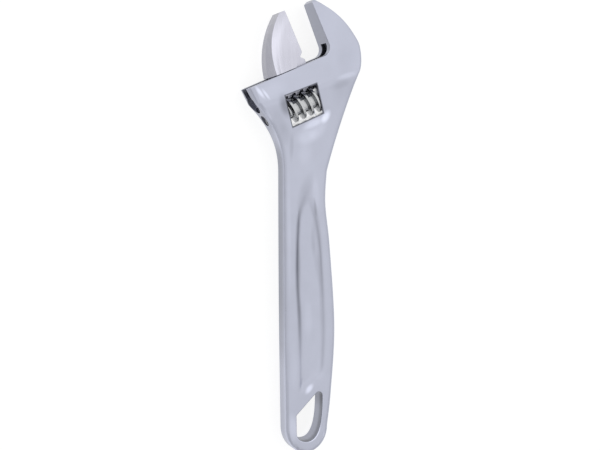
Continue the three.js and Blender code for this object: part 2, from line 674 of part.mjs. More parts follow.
/** The corner below the jaw's face that clears the round throat. */
function heelCut() {
  const shape = new THREE.Shape();
  shape.moveTo(SLIDING_JAW_U + PAST, JAW_FOOT_W + JAW_HEEL_CHAMFER + PAST);
  shape.lineTo(SLIDING_JAW_U - JAW_HEEL_CHAMFER - PAST, JAW_FOOT_W - PAST);
  shape.lineTo(SLIDING_JAW_U + PAST, JAW_FOOT_W - PAST);
  return solid(prism(shape, CUT));
}

/** The thin web that joins the jaw to its bar, with a nose that runs into the throat. */
function jawWeb() {
  const shape = new THREE.Shape();
  const top = SHOULDER_W - WEB_TOP_DROP;
  const insideJaw = SLIDING_JAW_BACK_U + JAW_BEVEL_WIDTH;
  shape.moveTo(WEB_LEFT_U, BAR_W);
  shape.lineTo(WEB_NOSE_U, BAR_W);
  shape.lineTo(WEB_NOSE_U, WEB_NOSE_W);
  shape.lineTo(WEB_NOSE_U - WEB_NOSE_CHAMFER, WEB_NOSE_TOP_W);
  shape.lineTo(insideJaw, WEB_NOSE_TOP_W);
  shape.lineTo(insideJaw, top);
  shape.lineTo(WEB_LEFT_U, top);
  return solid(prism(shape, WEB_THICKNESS / 2));
}

/** The grooves between the rack's teeth, turned to the worm's lead angle. */
function rackGrooves() {
  const low = BAR_W - BAR_RADIUS;
  const pitchRadius = WORM_RADIUS - THREAD_DEPTH / 2;
  const lead = Math.atan2(WORM_PITCH, 2 * Math.PI * pitchRadius);
  const halfMouth = (WORM_PITCH - RACK_TOOTH_TIP) / 2;
  const halfFloor = halfMouth - THREAD_FLANK * RACK_DEPTH;
  const shape = new THREE.Shape();
  const halfBelow = halfMouth + THREAD_FLANK * PAST;
  shape.moveTo(-halfBelow, low - PAST);
  shape.lineTo(halfBelow, low - PAST);
  shape.lineTo(halfFloor, low + RACK_DEPTH);
  shape.lineTo(-halfFloor, low + RACK_DEPTH);
  const first = Math.ceil((BAR_LEFT_U - WORM_PITCH) / WORM_PITCH);
  const last = Math.floor((BAR_RIGHT_U + WORM_PITCH) / WORM_PITCH);
  let grooves = null;
  for (let k = first; k <= last; k += 1) {
    const groove = prism(shape, BAR_RADIUS + PAST).rotateY(lead);
    groove.translate(k * WORM_PITCH + WORM_PHASE, 0, 0);
    grooves = grooves ? grooves.add(solid(groove)) : solid(groove);
  }
  return grooves;
}

function slidingJaw() {
  const bar = turned([
    [BAR_LEFT_U, BAR_RADIUS - BAR_CHAMFER],
    [BAR_LEFT_U + BAR_CHAMFER, BAR_RADIUS],
    [BAR_RIGHT_U - BAR_CHAMFER, BAR_RADIUS],
    [BAR_RIGHT_U, BAR_RADIUS - BAR_CHAMFER],
  ], BAR_W);
  return jawBlade()
    .subtract(heelCut())
    .add(jawWeb())
    .add(solid(bar))
    .subtract(rackGrooves());
}

// ---------------------------------------------------------------- worm, pin and spring

/** The worm's thread: a trapezium that winds along u, long enough to be trimmed at both ends. */
function wormThread() {
  const perTurn = 24;
  const sunk = 0.6;
  const from = Math.floor((WORM_LEFT_U - WORM_PHASE) / WORM_PITCH) - 1;
  const to = Math.ceil((WORM_RIGHT_U - WORM_PHASE) / WORM_PITCH) + 1;
  const section = [
    [-THREAD_ROOT / 2 - THREAD_FLANK * sunk, WORM_ROOT_RADIUS - sunk],
    [THREAD_ROOT / 2 + THREAD_FLANK * sunk, WORM_ROOT_RADIUS - sunk],
    [THREAD_CREST / 2, WORM_RADIUS],
    [-THREAD_CREST / 2, WORM_RADIUS],
  ];
  const rings = [];
  for (let i = 0; i <= (to - from) * perTurn; i += 1) {
    const turn = from + i / perTurn;
    const angle = 2 * Math.PI * turn;
    rings.push(section.map(([u, radius]) => new THREE.Vector3(
      u + turn * WORM_PITCH + WORM_PHASE, radius * Math.cos(angle), radius * Math.sin(angle),
    )));
  }
  return solid(loft(rings));
}

function adjustingWorm() {
  const core = turned([[WORM_LEFT_U, WORM_ROOT_RADIUS], [WORM_RIGHT_U, WORM_ROOT_RADIUS]], 0, 24);
  const around = WORM_RADIUS + PAST;
  const envelope = turned([[WORM_LEFT_U, around], [WORM_RIGHT_U, around]], 0, 24);
  const bore = turned([
    [WORM_LEFT_U - PAST, SPRING_SEAT_RADIUS],
    [WORM_LEFT_U + SPRING_SEAT_DEPTH, SPRING_SEAT_RADIUS],
    [WORM_LEFT_U + SPRING_SEAT_DEPTH, PIN_BORE_RADIUS],
    [WORM_RIGHT_U + PAST, PIN_BORE_RADIUS],
  ], 0, 24);
  return wormThread().intersect(solid(envelope)).add(solid(core)).subtract(solid(bore));
}

function wormPin() {
  const pin = turned([
    [PIN_HEAD_LEFT_U, PIN_HEAD_RADIUS],
    [PIN_HEAD_RIGHT_U, PIN_HEAD_RADIUS],
    [PIN_HEAD_RIGHT_U, PIN_RADIUS],
    [PIN_TIP_U, PIN_RADIUS],
  ], 0, 24);
  const slot = block(
    new THREE.Vector3(PIN_HEAD_LEFT_U - PAST, -PIN_HEAD_RADIUS - PAST, -PIN_SLOT_WIDTH / 2),
    new THREE.Vector3(PIN_HEAD_LEFT_U + PIN_SLOT_DEPTH, PIN_HEAD_RADIUS + PAST, PIN_SLOT_WIDTH / 2),
  );
  return solid(pin).subtract(solid(slot));
}

/** The spring's centre line, from the window's wall to the bottom of its seat in the worm. */
class SpringPath extends THREE.Curve {
  getPoint(share, target = new THREE.Vector3()) {
    const from = SPRING_LEFT_U + SPRING_WIRE_RADIUS;
    const to = WORM_LEFT_U + SPRING_SEAT_DEPTH - SEAT_GAP - SPRING_WIRE_RADIUS;
    const angle = 2 * Math.PI * SPRING_TURNS * share;
    return target.set(
      THREE.MathUtils.lerp(from, to, share),
      SPRING_RADIUS * Math.cos(angle),
      SPRING_RADIUS * Math.sin(angle),
    );
  }
}

function wormSpring() {
  const wire = new THREE.Shape();
  wire.absarc(0, 0, SPRING_WIRE_RADIUS, 0, 2 * Math.PI, false);
  return solid(new THREE.ExtrudeGeometry(wire, {
    extrudePath: new SpringPath(),
    steps: SPRING_TURNS * 16,
    curveSegments: 3,
    bevelEnabled: false,
  }));
}

// ---------------------------------------------------------------- materials and assembly

const metal = (color, roughness) => new THREE.MeshStandardMaterial({ color, roughness, metalness: 1 });
const satinChrome = () => metal(0xc3c7d2, 0.34);
const brightChrome = () => metal(0xd2d4dc, 0.22);
const plainSteel = () => metal(0x9a9ca2, 0.45);

/** A group in the head's axes, for the parts that are laid out along the slide. */
function headGroup(...meshes) {
  const group = new THREE.Group();
  group.position.set(0, HEAD_Y, 0);
  group.rotation.z = HEAD_ANGLE;
  group.add(...meshes);
  return group;
}

const wrench = new THREE.Group();
wrench.add(part('wrench_body', wrenchBody(), satinChrome()));
wrench.add(headGroup(
  part('sliding_jaw', slidingJaw(), satinChrome()),
  part('adjusting_worm', adjustingWorm(), brightChrome()),
  part('worm_pin', wormPin(), plainSteel()),
  part('worm_spring', wormSpring(), plainSteel()),
));

// The origin is the middle of the wrench's plan, on the surface that it lies on.
wrench.updateMatrixWorld(true);
const box = new THREE.Box3().setFromObject(wrench, true);
wrench.position.set(-(box.min.x + box.max.x) / 2, -(box.min.y + box.max.y) / 2, -box.min.z);
wrench.updateMatrixWorld(true);

export default wrench;
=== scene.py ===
"""An adjustable wrench in satin chrome, lying on a pale floor.

Lengths are in metres, and in mm where a comment says so. X runs across the wrench, +Y along its
handle towards the jaws, and +Z up through its thickness. The head has axes of its own: u along the
jaw's slide, w square to it towards the jaws' tips, and h through the thickness.
"""

import json
import math

import bmesh
import bpy
import numpy as np
from mathutils import Matrix, Vector


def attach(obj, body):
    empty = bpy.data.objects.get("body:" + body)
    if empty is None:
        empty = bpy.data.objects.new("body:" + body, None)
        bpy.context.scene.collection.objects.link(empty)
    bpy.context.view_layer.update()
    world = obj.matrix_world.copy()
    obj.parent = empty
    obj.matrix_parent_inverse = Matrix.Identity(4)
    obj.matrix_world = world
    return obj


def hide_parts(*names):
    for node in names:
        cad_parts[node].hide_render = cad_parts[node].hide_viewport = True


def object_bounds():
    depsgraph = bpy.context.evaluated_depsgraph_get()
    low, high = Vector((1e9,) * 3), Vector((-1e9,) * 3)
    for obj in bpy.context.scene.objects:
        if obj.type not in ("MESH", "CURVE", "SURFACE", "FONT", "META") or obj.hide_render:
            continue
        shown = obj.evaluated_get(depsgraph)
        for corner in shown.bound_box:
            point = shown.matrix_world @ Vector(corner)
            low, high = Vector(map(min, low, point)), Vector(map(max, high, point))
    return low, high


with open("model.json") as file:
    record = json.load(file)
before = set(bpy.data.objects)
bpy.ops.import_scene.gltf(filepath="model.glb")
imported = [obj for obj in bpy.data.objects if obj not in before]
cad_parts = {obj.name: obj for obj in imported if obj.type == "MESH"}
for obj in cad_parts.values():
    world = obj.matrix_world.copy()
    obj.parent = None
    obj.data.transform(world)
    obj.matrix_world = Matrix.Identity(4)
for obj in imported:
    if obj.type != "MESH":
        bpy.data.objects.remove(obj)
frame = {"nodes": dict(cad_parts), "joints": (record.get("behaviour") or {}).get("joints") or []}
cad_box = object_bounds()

MM = 0.001

# ---------------------------------------------------------------- places from the frame

low, high = (Vector(corner) for corner in cad_box)
CENTRE = (low + high) / 2
SLIDE = next(joint for joint in frame["joints"] if joint["name"] == "jaw_slide")
SPIN = next(joint for joint in frame["joints"] if joint["name"] == "worm_spin")
HEAD_U = Vector(SLIDE["axis"])
HEAD_W = Vector((-HEAD_U.y, HEAD_U.x, 0))
HEAD_ANGLE = math.atan2(HEAD_U.y, HEAD_U.x)
WORM_CENTRE = Vector(SPIN["pos_m"])

# ---------------------------------------------------------------- sizes of the CAD's shape

# The crease across the head: where it meets the middle line, and the direction square to it
CREASE_Y = 75.4 * MM
CREASE_ACROSS = 0.302
CREASE_ALONG = 0.953

# In mm from the wrench's centre: the hanging hole as an oval, its left corner, and the sunk panel
HOLE_MIDDLE = (0.75, -106.7)
HOLE_HALF = (9.75, 15.75)
HOLE_CORNER = (-6.9, -104.6)
PANEL_TOP_Y = 17
PANEL_HALF_WIDTH = 9

# In mm along the head's axes from the worm's middle: the worm's window, the keyhole slot, the
# pin's hole, the fixed jaw's face, the shoulder under the jaws and the arc of the jaw's back
WINDOW_LEAN = math.tan(math.radians(6))
WINDOW_MIDDLE = (0.03, 0.5)
WINDOW_HALF = (9.97, 9.0)
SLOT_AXIS_W = 10.5
SLOT_RADIUS = 5.4
SLOT_HALF_WIDTH = 3.65
SLOT_RIGHT_U = 29.4
SLOT_TOP_W = 26.4
PIN_HOLE_RADIUS = 3.3
PIN_HOLE_END_U = 16.5
FIXED_JAW_U = 26.8
JAW_FACE_REACH = 6
SHOULDER_W = 20.4
SHOULDER_MARGIN = 0.5
BACK_CENTRE = (35.74, 13.36)
BACK_RADIUS = 48

# ---------------------------------------------------------------- what the skins change, in mm

# A fade is a pair of numbers, here and below: something begins at the first and is whole at the
# second

# The window's sill is raised, and the lip of its upper wall hangs over the worm near both faces.
# Both fade out into the window, into the forging and past the window's sides
SILL_RISE = 0.8
SILL_FADES = ((-4, -9.2), (-14, -9.4))
LIP_DROP = 0.9
LIP_SLOPE = 0.04
LIP_FADES = ((4, 9.4), (16, 9.6))
LIP_HEIGHT_FADE = (5.6, 7.2)
WINDOW_SIDE_FADE = (4, 0)

# The upper half of the sliding jaw's back leans inwards from just over the shoulder: more towards
# its foot and its upper face, and less with the depth under its arc
BACK_LEAN = 3.0
BACK_START_W = SHOULDER_W + 0.1
BACK_FOOT_FADE = (54, 16)
BACK_DEPTH_FADE = (7, 0)
BACK_FULL_HEIGHT = 7

# ---------------------------------------------------------------- camera

CAMERA_DISTANCE = 575.2 * MM
CAMERA_SIDE = math.radians(22.29)
CAMERA_ALONG = math.radians(4.02)
CAMERA_ROLL = math.radians(-0.73)
CAMERA_AIM = Vector((-1.9, 2.2, 0)) * MM
CAMERA_LENS = 61.2
CAMERA_SENSOR = 36


def make_camera():
    """A camera nearly above the wrench, a little to its left, with the jaws at the top."""
    towards = Vector((
        -math.sin(CAMERA_SIDE) * math.cos(CAMERA_ALONG),
        math.sin(CAMERA_ALONG),
        math.cos(CAMERA_SIDE) * math.cos(CAMERA_ALONG),
    ))
    right = Vector((0, 1, 0)).cross(towards).normalized()
    right = Matrix.Rotation(CAMERA_ROLL, 3, towards) @ right
    up = towards.cross(right)
    data = bpy.data.cameras.new("camera")
    data.sensor_width = CAMERA_SENSOR
    data.lens = CAMERA_LENS
    camera = bpy.data.objects.new("camera", data)
    camera.matrix_world = Matrix((right, up, towards)).transposed().to_4x4()
    camera.location = CENTRE + CAMERA_AIM + towards * CAMERA_DISTANCE
    bpy.context.scene.collection.objects.link(camera)
    bpy.context.scene.camera = camera


# ---------------------------------------------------------------- shader expressions


class Shade:
    """A node's socket, so that shader maths is written as Python expressions."""

    def __init__(self, tree, socket=None):
        self.tree = tree
        self.socket = socket

    def node(self, kind, inputs, output=0, **settings):
        """A new node, with its settings made first and then its sockets' values or links."""
        made = self.tree.nodes.new("ShaderNode" + kind)
        for name, value in settings.items():
            setattr(made, name, value)
        for name, value in inputs.items():
            if isinstance(value, Shade):
                self.tree.links.new(value.socket, made.inputs[name])
            else:
                made.inputs[name].default_value = value
        return Shade(self.tree, made.outputs[output] if made.outputs else None)

    def math(self, operation, *terms):
        return self.node("Math", dict(enumerate(terms)), operation=operation)

    def __add__(self, other):
        return self.math("ADD", self, other)

    def __sub__(self, other):
        return self.math("SUBTRACT", self, other)

    def __rsub__(self, other):
        return self.math("SUBTRACT", other, self)

    def __mul__(self, other):
        return self.math("MULTIPLY", self, other)

    def __abs__(self):
        return self.math("ABSOLUTE", self)

    __radd__ = __add__
    __rmul__ = __mul__


def ramp(shade, value, start, end):
    """0 at the start, 1 at the end and smooth between them, whichever of the two is higher."""
    return shade.node("MapRange", {
        "Value": value, "From Min": start, "From Max": end, "To Min": 0.0, "To Max": 1.0,
    }, output="Result", interpolation_type="SMOOTHSTEP")


def along(shade, place, direction, origin):
    """How far a place lies along a direction from an origin, in mm."""
    reach = shade.node(
        "VectorMath", {0: place, 1: direction / MM}, operation="DOT_PRODUCT", output=1,
    )
    return reach - origin.dot(direction) / MM


def oval(shade, place, middle, half, turn=0):
    """How far a place lies from the middle of an oval on the faces, where 1 is the oval's edge.

    The middle and half sizes are in mm from the wrench's centre, and the turn is in degrees.
    """
    moved = shade.node("Mapping", {
        "Vector": place,
        "Location": (CENTRE.x + middle[0] * MM, CENTRE.y + middle[1] * MM, 0),
        "Rotation": (0, 0, math.radians(turn)),
        "Scale": (half[0] * MM, half[1] * MM, 1),
    }, vector_type="TEXTURE")
    return shade.node("VectorMath", {0: moved}, operation="LENGTH", output=1)


def new_material(name):
    """A material with an empty tree, and the Shade that adds nodes to it."""
    material = bpy.data.materials.new(name)
    material.use_nodes = True
    material.node_tree.nodes.clear()
    return material, Shade(material.node_tree)


# ---------------------------------------------------------------- metals

# The finish's patterns: how many of their waves go to a metre, and how deep the grain is
GRAIN_SCALE = 1 / (0.22 * MM)
SATIN_SCALE = 170
CLOUD_SCALE = 45
BRUSH_SCALE = (1600, 60, 60)
GRAIN_DEPTH = 0.012 * MM
SATIN_HEIGHT = 0.8
BRUSH_HEIGHT = 1.2

# How far each pattern moves the tone and the roughness
SATIN_TONE = 0.05
CLOUD_TONE = 0.09
BRUSH_TONE = 0.1
SATIN_ROUGHNESS = 0.14
CLOUD_ROUGHNESS = 0.1
WEAR_POLISH = 0.12


def noise(shade, place, scale, detail, roughness):
    """A soft random pattern about 0.5, with its number of finer layers and how strong they are."""
    return shade.node("TexNoise", {
        "Vector": place, "Scale": scale, "Detail": detail, "Roughness": roughness,
    })


def plated(name, tint, rough, plain_tone=None, brushed=None, detail=None):
    """Plated steel. A piece's tone says how light each face is, and its wear how polished.

    A detail adds what goes by place, painted light and shade among it. Over them lie a fine grain,
    a cloudy satin and, on a ground piece, faint lines along the axis that brushed gives as a turn.
    A plain tone stands for both attributes on a piece that has none.
    """
    material, shade = new_material(name)
    place = shade.node("TexCoord", {}, output="Object")
    if plain_tone is None:
        tone = shade.node("Attribute", {}, output="Fac", attribute_name="tone")
        wear = shade.node("Attribute", {}, output="Fac", attribute_name="wear")
    else:
        tone, wear = plain_tone, 0.0
    if detail is not None:
        tone, wear = detail(shade, place, tone, wear)
    grain = noise(shade, place, GRAIN_SCALE, detail=2.0, roughness=0.6)
    satin = noise(shade, place, SATIN_SCALE, detail=3.0, roughness=0.55)
    cloud = noise(shade, place, CLOUD_SCALE, detail=2.0, roughness=0.5)
    height = grain + SATIN_HEIGHT * satin
    tone = tone + SATIN_TONE * (satin - 0.5) + CLOUD_TONE * (cloud - 0.5)
    if brushed is not None:
        stroke = shade.node("Mapping", {"Vector": place, "Rotation": brushed, "Scale": BRUSH_SCALE})
        lines = noise(shade, stroke, 1.0, detail=2.0, roughness=0.7)
        height = height + BRUSH_HEIGHT * lines
        tone = tone + BRUSH_TONE * (lines - 0.5)
    colour = shade.node("VectorMath", {0: tint, "Scale": tone}, operation="SCALE")
    roughness = rough + SATIN_ROUGHNESS * (satin - 0.5) + CLOUD_ROUGHNESS * (cloud - 0.5)
    roughness = roughness - WEAR_POLISH * wear
    bump = shade.node("Bump", {"Height": height, "Strength": 0.5, "Distance": GRAIN_DEPTH})
    surface = shade.node("BsdfPrincipled", {
        "Base Color": colour, "Metallic": 1.0, "Roughness": roughness, "Normal": bump,
    })
    shade.node("OutputMaterial", {"Surface": surface})
    return material


# ---------------------------------------------------------------- the forging's tones, with its painted light and shade

# The tone of its broad faces, the painted shade taken off and the painted light added elsewhere,
# and the wear of the window
FACE_TONE = 0.60
SIDE_PAINTED_SHADE = 0.2
WALL_PAINTED_LIGHT = 0.7
RIM_PAINTED_SHADE = 0.68
RIGHT_PAINTED_LIGHT = 0.1
LEFT_TOP_PAINTED_LIGHT = 0.09
LEFT_NECK_PAINTED_LIGHT = 0.08
LEFT_GRIP_PAINTED_SHADE = 0.05
ROUNDED_PAINTED_LIGHT = 0.07
END_PAINTED_LIGHT = 0.08
HOLE_TOP_PAINTED_SHADE = 0.15
HOLE_END_PAINTED_SHADE = 0.1
HOLE_LEFT_PAINTED_SHADE = 0.1
PANEL_LEFT_PAINTED_SHADE = 0.17
PANEL_RIGHT_PAINTED_SHADE = 0.04
PANEL_SHADE_TO_LIGHT = 0.25
CREASE_PAINTED_SHADE = 0.03
WALL_WEAR = 0.3

# Fades on how far the surface faces up, from 0 to 1, or to the right, from -1 to 1
SIDE_FADE = (0.85, 0.3)
ROUNDED_FADES = ((0.15, 0.5), (0.95, 0.7))
PANEL_LEFT_FADE = (0.06, 0.4)
PANEL_RIGHT_FADE = (-0.05, -0.3)

# Fades on the place across, along and through the wrench, in mm from its centre, and on how far it
# lies below the crease, in mm
SHAFT_FADE = (60, 50)
LEFT_FADE = (-5, -8)
LEFT_TOP_FADE = (0.5, 5)
LEFT_NECK_FADE = (42, 52)
LEFT_GRIP_FADES = ((-60, -35), (48, 40))
RIGHT_FADE = (8, 11)
ROUNDED_LEFT_FADE = (-7, -9)
ROUNDED_TOP_FADE = (75, 65)
END_FADE = (-62, -80)
HOLE_TOP_FADE = (0, 3.5)
HOLE_END_FADE = (-104, -97)
HOLE_LEFT_FADE = (2, -3)
PANEL_TOP_FADE = (PANEL_TOP_Y, PANEL_TOP_Y - 16)
PANEL_END_FADE = (-92, -88)
PANEL_SIDE_FADE = (PANEL_HALF_WIDTH + 1, PANEL_HALF_WIDTH - 1)
PANEL_TURN_FADE = (-78, -45)
CREASE_FADE = (-0.8, 1.2)
RIM_HEIGHT_FADE = (4.8, 5.6)

# Fades on the distance from the window's walls in mm, and from an oval's middle in its half sizes
WALL_FADE = (0.7, 0.3)
RIM_FADE = (0.85, 0.3)
HOLE_FADE = (1.25, 1.15)
SPOT_FADE = (1.0, 0.2)

# Painted highlights and painted shade on the broad faces: middle and half sizes in mm from the
# wrench's centre, the turn of the spot in degrees, and how much lighter it is
PAINTED_LIGHT_SPOTS = (
    # painted highlights and shade below the window's corner
    ((12.2, 62.8), (5.4, 3.0), 60, 0.32),
    ((4.6, 59.2), (9.5, 3.0), 24, 0.20),
    ((7.2, 55.0), (9.5, 5.0), 50, 0.08),
    ((0.4, 52.0), (9.0, 6.0), 22, 0.10),
    ((-0.6, 43.0), (10.0, 6.5), 90, 0.04),
    ((-12.5, 53.5), (8.0, 5.0), 100, -0.06),
    ((-8.7, 46.0), (10.0, 1.8), 88, -0.07),
    # beside the window
    ((-16.5, 61.0), (11.0, 5.5), 112, -0.05),
    ((-12.6, 68.8), (8.5, 4.6), 108, -0.22),
    # the slide's end and the edge beside the pin's slot
    ((-22.5, 63.7), (6.5, 1.3), -53, 0.14),
    ((-27.6, 75.8), (5.5, 1.6), -51, 0.24),
    ((-25.6, 75.0), (4.0, 0.8), -51, -0.06),
    ((-24.2, 74.8), (5.0, 1.2), -51, 0.20),
    ((-20.5, 77.0), (11.0, 6.0), 22, 0.04),
    # the crease on the fixed jaw's side
    ((24.5, 85.6), (9.0, 2.2), 17, 0.10),
    ((20.5, 80.8), (9.0, 3.4), 17, -0.05),
    ((22.5, 79.0), (14.0, 9.0), 70, -0.03),
    ((24.0, 95.0), (11.0, 8.0), 70, -0.025),
    # the neck, the panel's walls and the handle's left edge
    ((-0.8, 21.0), (14.0, 5.0), 70, -0.065),
    ((5.6, 21.0), (13.0, 2.8), 94, 0.04),
    ((5.4, 12.0), (7.0, 1.1), 97, -0.12),
    ((4.3, -6.3), (13.0, 1.9), 91, -0.06),
    ((7.1, -22.5), (20.0, 2.6), 99, -0.05),
    ((-4.9, -20.0), (18.0, 2.1), 91, -0.10),
    ((0.6, -51.0), (16.0, 3.4), 91, 0.04),
    ((-14.9, 30.0), (15.0, 2.6), 93, -0.07),
    ((-10.8, 0.0), (48.0, 1.8), 90, 0.04),
    ((-9.0, -78.0), (20.0, 3.4), 90, 0.03),
    # the panel's end and the hole's rim
    ((0.2, -90.6), (4.4, 2.2), 49, 0.28),
    ((-10.0, -112.0), (11.0, 3.6), 96, 0.10),
)


def past_window_side(u, w):
    """How far a place lies outside the window's leaning left and right walls, in mm."""
    return abs(u - WINDOW_MIDDLE[0] - WINDOW_LEAN * w) - WINDOW_HALF[0]


def window_marks(shade, place, side, z):
    """The window's walls, which get painted light, and its narrow rim on both faces, painted shade.
    """
    u = along(shade, place, HEAD_U, WORM_CENTRE)
    w = along(shade, place, HEAD_W, WORM_CENTRE)
    past_w = abs(w - WINDOW_MIDDLE[1]) - WINDOW_HALF[1]
    past = shade.math("MAXIMUM", past_window_side(u, w), past_w)
    past_lip = w - WINDOW_MIDDLE[1] - WINDOW_HALF[1] + LIP_SLOPE * u + LIP_DROP
    edge = abs(shade.math("MAXIMUM", past, past_lip))
    wall = side * ramp(shade, past, *WALL_FADE)
    rim = ramp(shade, edge, *RIM_FADE) * ramp(shade, abs(z), *RIM_HEIGHT_FADE)
    return wall, rim


def with_sides(shade, level, side, upright, x, y, z, in_hole):
    """The level with painted light and shade on the handle's sides, rounded left edge and hole
    wall.
    """
    shaft = ramp(shade, y, *SHAFT_FADE)
    left = side * ramp(shade, x, *LEFT_FADE) * shaft
    right = side * ramp(shade, x, *RIGHT_FADE) * shaft
    level = level + RIGHT_PAINTED_LIGHT * right
    level = level + LEFT_TOP_PAINTED_LIGHT * left * ramp(shade, z, *LEFT_TOP_FADE)
    level = level + LEFT_NECK_PAINTED_LIGHT * left * ramp(shade, y, *LEFT_NECK_FADE)
    from_below, from_above = (ramp(shade, y, *fade) for fade in LEFT_GRIP_FADES)
    level = level - LEFT_GRIP_PAINTED_SHADE * left * from_below * from_above
    not_side, not_face = (ramp(shade, upright, *fade) for fade in ROUNDED_FADES)
    rounded = ROUNDED_PAINTED_LIGHT * (not_side * not_face) * ramp(shade, x, *ROUNDED_LEFT_FADE)
    level = level + rounded * ramp(shade, y, *ROUNDED_TOP_FADE)
    level = level + END_PAINTED_LIGHT * side * ramp(shade, y, *END_FADE) * (1 - in_hole)
    # Painted shade on the hanging hole's wall: in its upper half, at its end towards the head, and
    # on its left
    level = level - HOLE_TOP_PAINTED_SHADE * in_hole * ramp(shade, z, *HOLE_TOP_FADE)
    level = level - HOLE_END_PAINTED_SHADE * in_hole * ramp(shade, y, *HOLE_END_FADE)
    return level - HOLE_LEFT_PAINTED_SHADE * in_hole * ramp(shade, x, *HOLE_LEFT_FADE)


def with_panel(shade, level, normal, x, y):
    """The level with the panel's walls in painted shade, a little painted light at its lower end.
    """
    lean = shade.node("SeparateXYZ", {0: normal}, output=0)
    inside = ramp(shade, abs(x), *PANEL_SIDE_FADE)
    panel = inside * ramp(shade, y, *PANEL_TOP_FADE) * ramp(shade, y, *PANEL_END_FADE)
    panel = panel * ((1 + PANEL_SHADE_TO_LIGHT) * ramp(shade, y, *PANEL_TURN_FADE) - PANEL_SHADE_TO_LIGHT)
    level = level - PANEL_LEFT_PAINTED_SHADE * panel * ramp(shade, lean, *PANEL_LEFT_FADE)
    return level - PANEL_RIGHT_PAINTED_SHADE * panel * ramp(shade, lean, *PANEL_RIGHT_FADE)


def forged_detail(shade, place, tone, wear):
    """The forging's painted light and shade: dark sides and window rim, light window walls, spots.
    """
    normal = shade.node("TexCoord", {}, output="Normal")
    upright = abs(shade.node("SeparateXYZ", {0: normal}, output=2))
    side = ramp(shade, upright, *SIDE_FADE)
    face = 1 - side
    x = along(shade, place, Vector((1, 0, 0)), CENTRE)
    y = along(shade, place, Vector((0, 1, 0)), CENTRE)
    z = along(shade, place, Vector((0, 0, 1)), CENTRE)
    wall, rim = window_marks(shade, place, side, z)
    in_hole = side * ramp(shade, oval(shade, place, HOLE_MIDDLE, HOLE_HALF), *HOLE_FADE)

    # Painted shade on the sides, and painted light on the window's walls
    level = FACE_TONE - SIDE_PAINTED_SHADE * side + WALL_PAINTED_LIGHT * wall
    level = with_sides(shade, level, side, upright, x, y, z, in_hole)
    level = with_panel(shade, level, normal, x, y)
    # Painted highlights and painted shade, one spot after another
    for middle, half, turn, gain in PAINTED_LIGHT_SPOTS:
        spot = ramp(shade, oval(shade, place, middle, half, turn), *SPOT_FADE)
        level = level + gain * face * spot
    # Painted shade on the broad faces just below the crease
    below = CREASE_ACROSS * x - CREASE_ALONG * (y - CREASE_Y / MM)
    level = level - CREASE_PAINTED_SHADE * face * ramp(shade, below, *CREASE_FADE)
    # The window's narrow rim darkens the tone with painted shade
    return tone * level * (1 - RIM_PAINTED_SHADE * rim), wear + WALL_WEAR * wall


# ---------------------------------------------------------------- the sliding jaw's tones

# Painted light and polish on the bevel, and painted shade on the foot
BEVEL_PAINTED_LIGHT = 0.17
BEVEL_WEAR = 0.4
FOOT_PAINTED_SHADE = 0.05

# Fades on how far the surface faces up, and in mm on the depth under the arc of the jaw's back and
# on the place up from the worm
GROUND_FACE_FADE = (0.75, 0.92)
BEVEL_DEPTH_FADE = (7.5, 3.0)
BEVEL_TIP_FADE = (51, 38)
FOOT_FADE = (37, 27)


def ground_detail(shade, place, tone, wear):
    """The jaw's polished bevel in painted light, fading into its face, and painted shade on its
    foot.
    """
    normal = shade.node("TexCoord", {}, output="Normal")
    upright = abs(shade.node("SeparateXYZ", {0: normal}, output=2))
    face = ramp(shade, upright, *GROUND_FACE_FADE)
    centre = WORM_CENTRE + (HEAD_U * BACK_CENTRE[0] + HEAD_W * BACK_CENTRE[1]) * MM
    moved = shade.node("Mapping", {
        "Vector": place, "Location": (centre.x, centre.y, 0), "Scale": (MM, MM, 1),
    }, vector_type="TEXTURE")
    depth = BACK_RADIUS - shade.node("VectorMath", {0: moved}, operation="LENGTH", output=1)
    up = along(shade, place, HEAD_W, WORM_CENTRE)
    bevel = face * ramp(shade, depth, *BEVEL_DEPTH_FADE) * ramp(shade, up, *BEVEL_TIP_FADE)
    foot = face * ramp(shade, up, *FOOT_FADE)
    return tone + BEVEL_PAINTED_LIGHT * bevel - FOOT_PAINTED_SHADE * foot, wear + BEVEL_WEAR * bevel


# ---------------------------------------------------------------- the four metals

SATIN_CHROME = plated("satin_chrome", (0.93, 0.965, 1.14), 0.34, detail=forged_detail)
JAW_CHROME = plated(
    "jaw_chrome", (0.97, 0.97, 1.10), 0.30, brushed=(0, 0, math.radians(-58)), detail=ground_detail,
)
WORM_CHROME = plated("worm_chrome", (0.985, 1.0, 1.02), 0.24)
STEEL = plated("steel", (1.0, 1.0, 1.03), 0.36, plain_tone=0.5)

# ---------------------------------------------------------------- fine skins of the CAD solids

FACE_LIMIT = 190000
WELD = 0.001 * MM
MESH_SCALE = 0.99
EDGE_ANGLE = math.radians(30)
EDGE_BREAK = 0.35
BLEND_ROUNDS = 160

# How finely each piece is meshed, where one more halves its faces' size
BODY_DEPTH = 10
JAW_DEPTH = 8
WORM_DEPTH = 7

# How far the hole's rim and its left corner are eased, where 1 is all the way, and where the
# broad faces are blended: fades on how far they face up and in mm past the window and the crease
HOLE_REGION_Y = -85
RIM_EASE = 0.13
CORNER_EASE = 0.2
CORNER_FADE = (4, 1)
BROAD_FADE = (0.8, 0.9)
PAST_WINDOW_FADE = (0.8, 2)
BELOW_CREASE_FADE = (1 * MM, 5 * MM)


